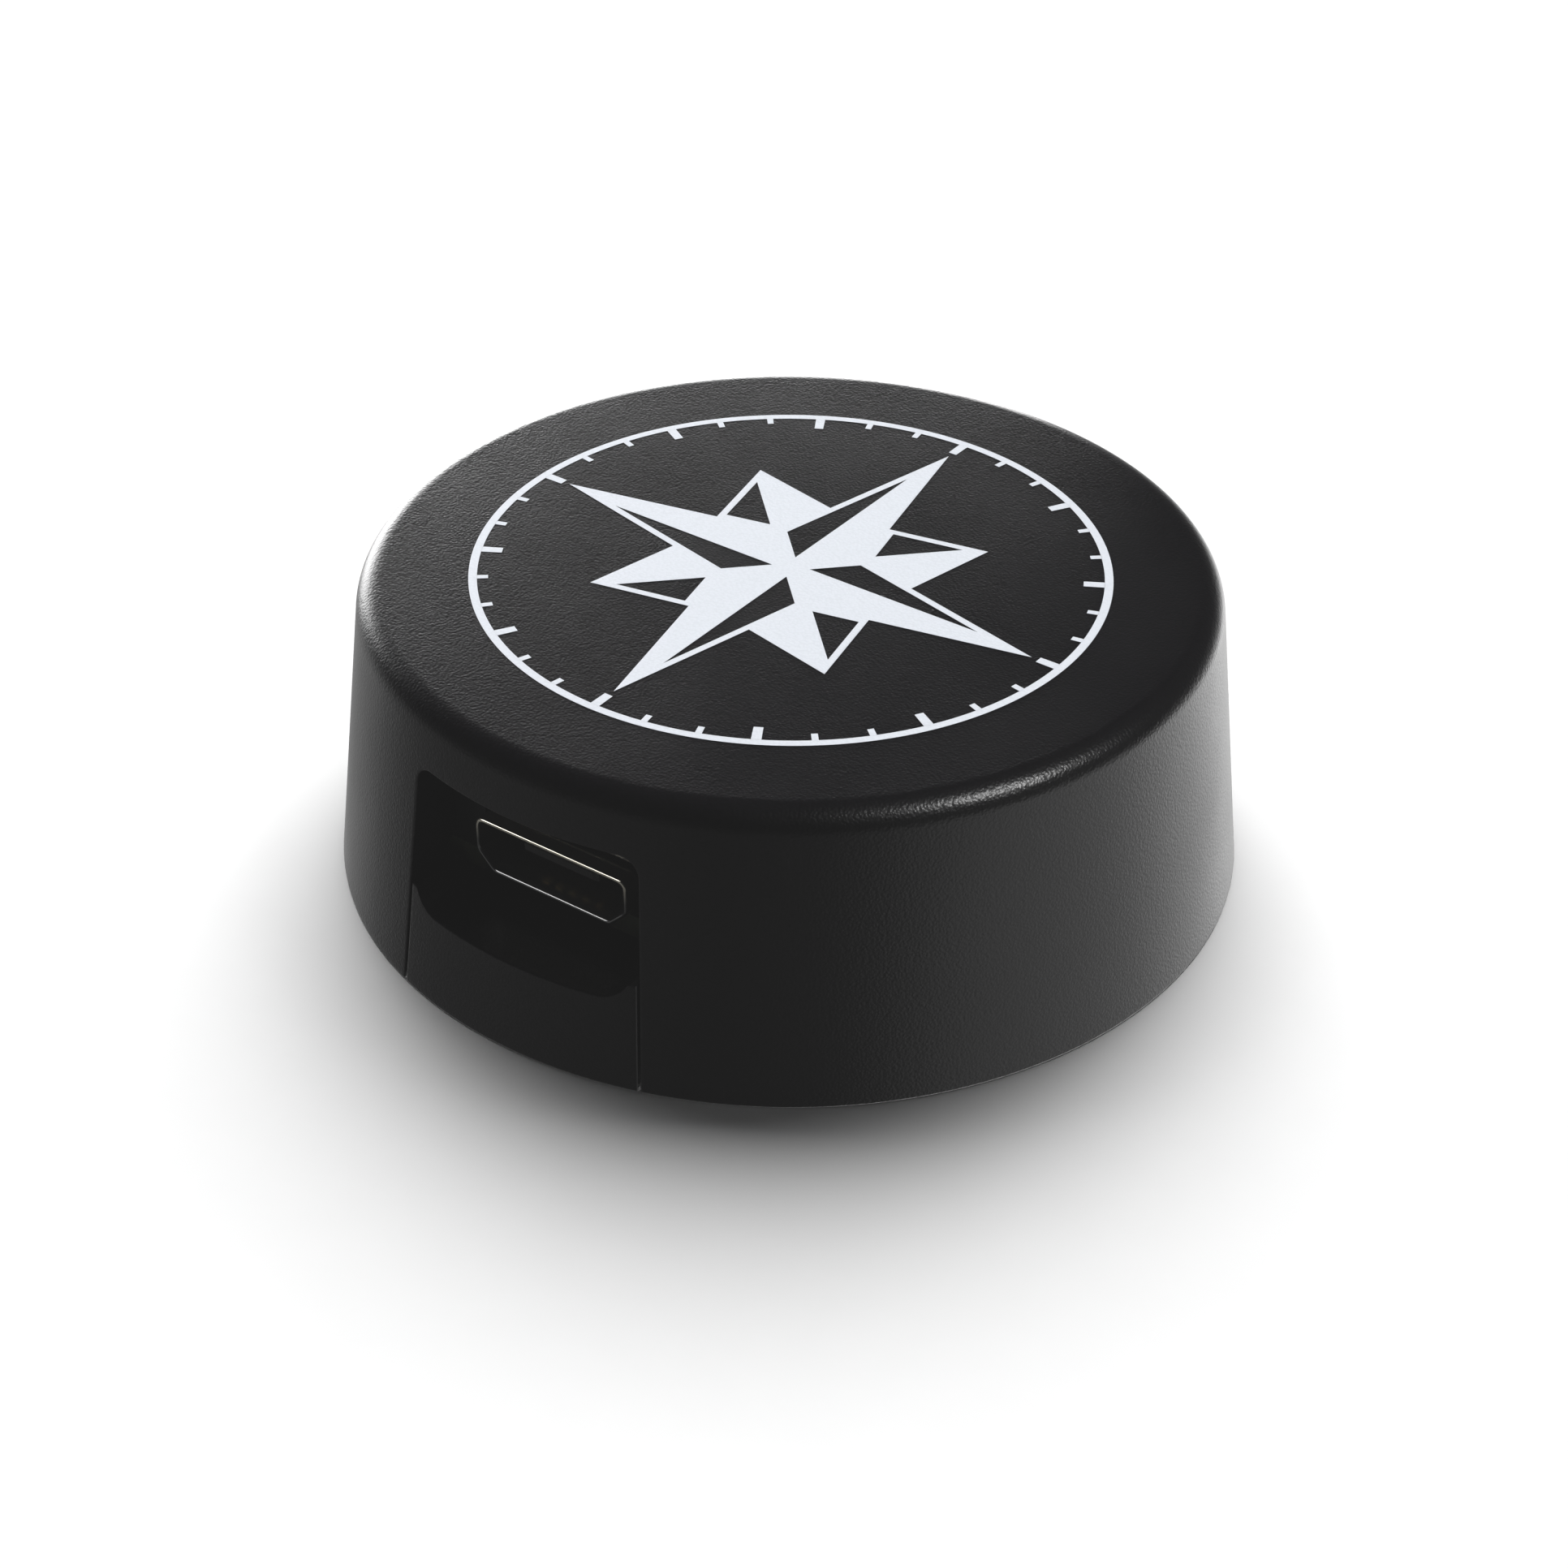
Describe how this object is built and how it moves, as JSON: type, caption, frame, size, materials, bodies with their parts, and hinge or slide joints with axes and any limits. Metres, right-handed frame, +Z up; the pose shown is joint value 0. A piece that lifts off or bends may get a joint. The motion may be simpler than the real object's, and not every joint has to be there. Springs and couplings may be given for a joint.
{
  "type": "handheld bearing compass",
  "caption": "Pocket electronic bearing compass: a drafted round plastic puck with a charging port in its side, a rear button, and a heading sensor, board and battery inside.",
  "frame": {"origin": "centre of the round base, on the surface that the puck lies on", "axes": "+Z up through the marked top, -Y out of the charging port, +Y out of the button, +X to the right as the port is faced from outside"},
  "size_m": [0.038, 0.038, 0.0127],
  "materials": {
    "case_plastic": "fine pebble grain, satin black",
    "button_plastic": "fine grain, satin black",
    "print_ink": "white pad print, slightly glossy",
    "screw_steel": "zinc-plated steel",
    "insert_brass": "turned and knurled brass",
    "board_laminate": "black solder mask over glass-epoxy laminate",
    "receptacle_steel": "tin-plated stamped stainless steel",
    "receptacle_plastic": "black moulded high-temperature plastic",
    "contact_gold": "gold-plated copper alloy",
    "cell_foil": "laminated aluminium pouch foil",
    "adhesive_pad": "white double-sided foam tape",
    "foam": "black closed-cell foam",
    "polyimide_tape": "amber polyimide tape over a small circuit strip",
    "nickel_strip": "thin nickel-plated sheet",
    "connector_nylon": "natural white nylon",
    "red_insulation": "soft red wire insulation",
    "black_insulation": "soft black wire insulation",
    "chip_epoxy": "black moulding compound",
    "shield_tinplate": "tin-plated drawn steel",
    "ferrite": "dark grey pressed ferrite",
    "ceramic": "brown sintered ceramic with tinned ends",
    "clear_acrylic": "clear acrylic, polished end",
    "led_package": "white package with a clear lens"
  },
  "bodies": {
    "case": {"base_cover": "case_plastic", "battery_adhesive_pad": "adhesive_pad", "battery_cell": "cell_foil", "battery_foam_strip_1": "foam", "battery_foam_strip_2": "foam", "battery_lead_black": "black_insulation", "battery_lead_red": "red_insulation", "battery_plug": "connector_nylon", "battery_socket": "connector_nylon", "board_screw_1": "screw_steel", "board_screw_2": "screw_steel", "board_screw_3": "screw_steel", "board_screw_4": "screw_steel", "brass_insert_1": "insert_brass", "brass_insert_2": "insert_brass", "brass_insert_3": "insert_brass", "brass_insert_4": "insert_brass", "capacitor_1": "ceramic", "capacitor_2": "ceramic", "capacitor_3": "ceramic", "capacitor_4": "ceramic", "case_screw_1": "screw_steel", "case_screw_2": "screw_steel", "case_screw_3": "screw_steel", "case_screw_4": "screw_steel", "case_shell": "case_plastic", "cell_protection_strip": "polyimide_tape", "cell_tab_1": "nickel_strip", "cell_tab_2": "nickel_strip", "charger_chip": "chip_epoxy", "chip_antenna": "ceramic", "crystal": "shield_tinplate", "heading_sensor": "chip_epoxy", "main_board": "board_laminate", "microcontroller": "chip_epoxy", "motion_sensor": "chip_epoxy", "power_inductor": "ferrite", "radio_shield_can": "shield_tinplate", "resistor_1": "chip_epoxy", "resistor_2": "chip_epoxy", "resistor_3": "chip_epoxy", "socket_pin_1": "contact_gold", "socket_pin_2": "contact_gold", "status_led": "led_package", "status_light_pipe": "clear_acrylic", "switch_body": "receptacle_plastic", "switch_frame": "nickel_strip", "usb_contact_1": "contact_gold", "usb_contact_2": "contact_gold", "usb_contact_3": "contact_gold", "usb_contact_4": "contact_gold", "usb_contact_5": "contact_gold", "usb_insulator": "receptacle_plastic", "usb_shell": "receptacle_steel", "voltage_regulator": "chip_epoxy"},
    "button": {"power_button": "button_plastic", "switch_plunger": "connector_nylon"}
  },
  "joints": [
    {"name": "button_press", "type": "slide", "parent": "case", "child": "button", "axis": [0, -1, 0], "range_m": [0, 0.00025], "stiffness_N_per_m": 2000, "springref_m": -0.0003}
  ]
}
